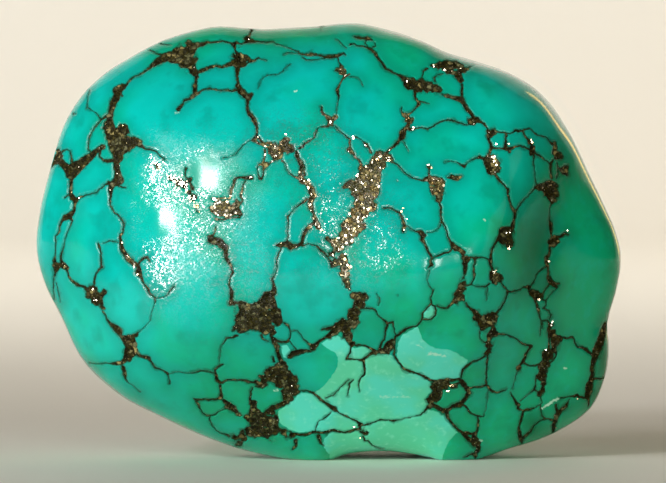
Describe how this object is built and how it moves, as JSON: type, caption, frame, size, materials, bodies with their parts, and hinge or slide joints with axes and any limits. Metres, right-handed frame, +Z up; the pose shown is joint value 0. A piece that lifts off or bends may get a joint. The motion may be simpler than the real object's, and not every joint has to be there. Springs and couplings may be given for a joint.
{
  "type": "turquoise specimen",
  "caption": "Tumbled, polished turquoise nugget: smooth blue-green nodules in a dark web of matrix with pyrite grains, resting on a worn flat underneath.",
  "frame": {"origin": "under the middle of the stone, on the flat underneath that it rests on", "axes": "+X along the length, to the right in the picture; +Y away from the picture's camera, through the depth; +Z up"},
  "size_m": [0.025, 0.0162, 0.0186],
  "materials": {
    "turquoise": "polished"
  },
  "bodies": {
    "root": {"turquoise_nugget": "turquoise"}
  },
  "joints": []
}
